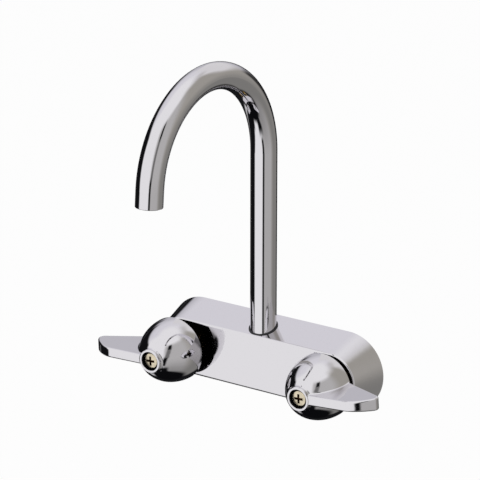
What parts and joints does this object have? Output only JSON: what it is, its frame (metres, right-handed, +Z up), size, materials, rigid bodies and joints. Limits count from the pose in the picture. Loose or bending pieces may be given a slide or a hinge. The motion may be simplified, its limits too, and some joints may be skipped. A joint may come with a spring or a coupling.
{
  "type": "bath faucet",
  "caption": "Chromed wall-mounted bath faucet with a tall gooseneck spout and turning lever handles for hot and cold.",
  "frame": {"origin": "centre of the cover's back rim on the wall plane, midway between the valves at the height of their axes", "axes": "+X along the body to the cold side, +Y into the wall, +Z up the spout's riser"},
  "size_m": [0.2394, 0.2001, 0.2625],
  "materials": {
    "polished_chrome": "polished chrome plate",
    "cast_brass": "as cast and machined",
    "turned_brass": "machined",
    "screw_brass": "bright",
    "black_rubber": "matte",
    "graphite_packing": "matte, woven",
    "zinc_steel": "zinc plated"
  },
  "bodies": {
    "faucet_body": {"body_cover": "polished_chrome", "valve_body": "cast_brass", "spout_tube": "polished_chrome", "spout_base_ring": "black_rubber", "spout_tailpiece": "turned_brass", "spout_seal": "black_rubber", "wall_gaskets": "black_rubber", "wall_washers": "zinc_steel", "locknuts": "turned_brass", "hot_seat": "turned_brass", "hot_bonnet_gasket": "black_rubber", "hot_bonnet": "turned_brass", "hot_cover_nut": "polished_chrome", "hot_packing": "graphite_packing", "hot_packing_nut": "turned_brass", "hot_supply_shank": "turned_brass", "cold_seat": "turned_brass", "cold_bonnet_gasket": "black_rubber", "cold_bonnet": "turned_brass", "cold_cover_nut": "polished_chrome", "cold_packing": "graphite_packing", "cold_packing_nut": "turned_brass", "cold_supply_shank": "turned_brass"},
    "hot_washer_lift": {"hot_washer_holder": "turned_brass", "hot_seat_washer": "black_rubber", "hot_washer_screw": "turned_brass"},
    "hot_handle_turn": {"hot_stem": "turned_brass", "hot_handle": "polished_chrome", "hot_handle_screw": "screw_brass"},
    "cold_washer_lift": {"cold_washer_holder": "turned_brass", "cold_seat_washer": "black_rubber", "cold_washer_screw": "turned_brass"},
    "cold_handle_turn": {"cold_stem": "turned_brass", "cold_handle": "polished_chrome", "cold_handle_screw": "screw_brass"}
  },
  "joints": [
    {"name": "hot_lift", "type": "slide", "parent": "faucet_body", "child": "hot_washer_lift", "axis": [0, -1, 0], "range_m": [0, 0.00381]},
    {"name": "hot_turn", "type": "hinge", "parent": "hot_washer_lift", "child": "hot_handle_turn", "pos_m": [-0.0635, -0.045, 0], "axis": [0, -1, 0], "range_deg": [0, 270]},
    {"name": "cold_lift", "type": "slide", "parent": "faucet_body", "child": "cold_washer_lift", "axis": [0, -1, 0], "range_m": [0, 0.00381]},
    {"name": "cold_turn", "type": "hinge", "parent": "cold_washer_lift", "child": "cold_handle_turn", "pos_m": [0.0635, -0.045, 0], "axis": [0, -1, 0], "range_deg": [-270, 0]}
  ],
  "couplings": [
    {"joint": "hot_turn", "follows": "hot_lift", "rad_per_m": 1236.8},
    {"joint": "cold_turn", "follows": "cold_lift", "rad_per_m": -1236.8}
  ]
}
